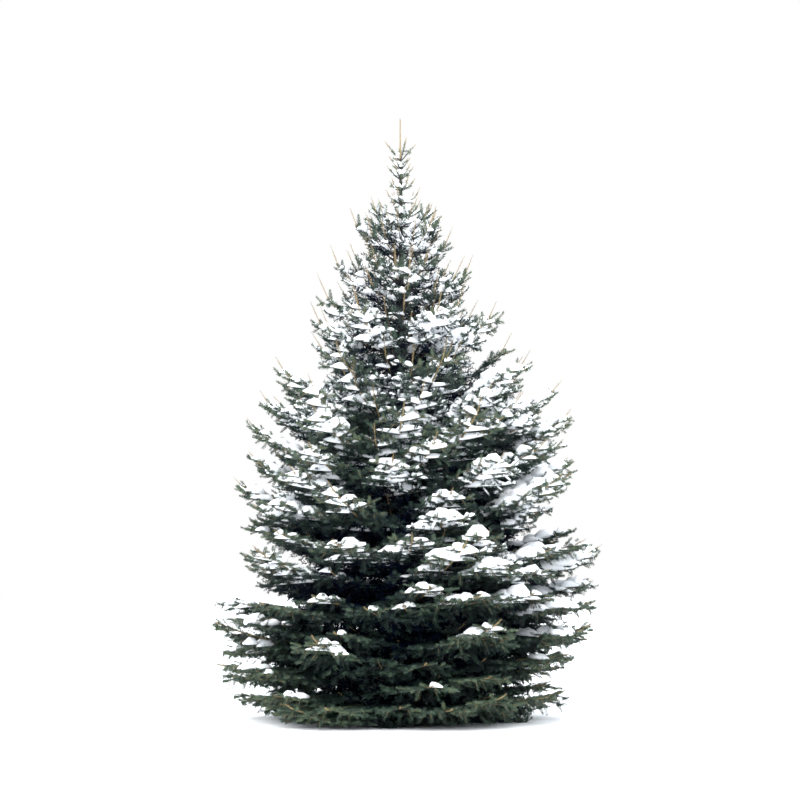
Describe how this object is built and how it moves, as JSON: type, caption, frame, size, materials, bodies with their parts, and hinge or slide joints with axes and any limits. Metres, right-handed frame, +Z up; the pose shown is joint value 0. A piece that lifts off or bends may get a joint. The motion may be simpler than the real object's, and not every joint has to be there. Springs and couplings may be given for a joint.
{
  "type": "norway spruce tree",
  "caption": "Young rooted spruce with a straight tapering trunk, tiers of upswept boughs and a conical crown of needle sprays under snow.",
  "frame": {"origin": "centre of the trunk's flat cut at ground level", "axes": "+Z up along the trunk; seen from -Y with +X to the right, the crown's fuller side is at +X"},
  "size_m": [2.8353, 2.686, 4.5],
  "materials": {
    "bark": "rough grey-brown scaly bark, golden brown on the young shoots",
    "needles": "dark green needles, paler grey-green on the young shoots",
    "snow": "soft matt white snow"
  },
  "bodies": {
    "root": {"trunk": "bark", "tier1_bough_1": "bark", "tier1_bough_2": "bark", "tier1_bough_3": "bark", "tier1_bough_4": "bark", "tier1_bough_5": "bark", "tier2_bough_1": "bark", "tier2_bough_2": "bark", "tier2_bough_3": "bark", "tier2_bough_4": "bark", "tier2_bough_5": "bark", "tier2_bough_6": "bark", "tier3_bough_1": "bark", "tier3_bough_2": "bark", "tier3_bough_3": "bark", "tier3_bough_4": "bark", "tier3_bough_5": "bark", "tier1_foliage_1": "needles", "tier1_foliage_2": "needles", "tier1_foliage_3": "needles", "tier1_foliage_4": "needles", "tier1_foliage_5": "needles", "tier2_foliage_1": "needles", "tier2_foliage_2": "needles", "tier2_foliage_3": "needles", "tier2_foliage_4": "needles", "tier2_foliage_5": "needles", "tier2_foliage_6": "needles", "tier3_foliage_1": "needles", "tier3_foliage_2": "needles", "tier3_foliage_3": "needles", "tier3_foliage_4": "needles", "tier3_foliage_5": "needles", "tier4_foliage_1": "needles", "tier4_foliage_2": "needles", "tier4_foliage_3": "needles", "tier4_foliage_4": "needles", "tier4_foliage_5": "needles", "tier5_foliage_1": "needles", "tier5_foliage_2": "needles", "tier5_foliage_3": "needles", "tier5_foliage_4": "needles", "tier5_foliage_5": "needles", "tier5_foliage_6": "needles", "tier6_foliage_1": "needles", "tier6_foliage_2": "needles", "tier6_foliage_3": "needles", "tier6_foliage_4": "needles", "tier7_foliage_1": "needles", "tier7_foliage_2": "needles", "tier7_foliage_3": "needles", "tier7_foliage_4": "needles", "tier8_foliage_1": "needles", "tier8_foliage_2": "needles", "tier8_foliage_3": "needles", "tier8_foliage_4": "needles", "tier9_foliage_1": "needles", "tier9_foliage_2": "needles", "tier9_foliage_3": "needles", "top_foliage": "needles"}
  },
  "joints": []
}
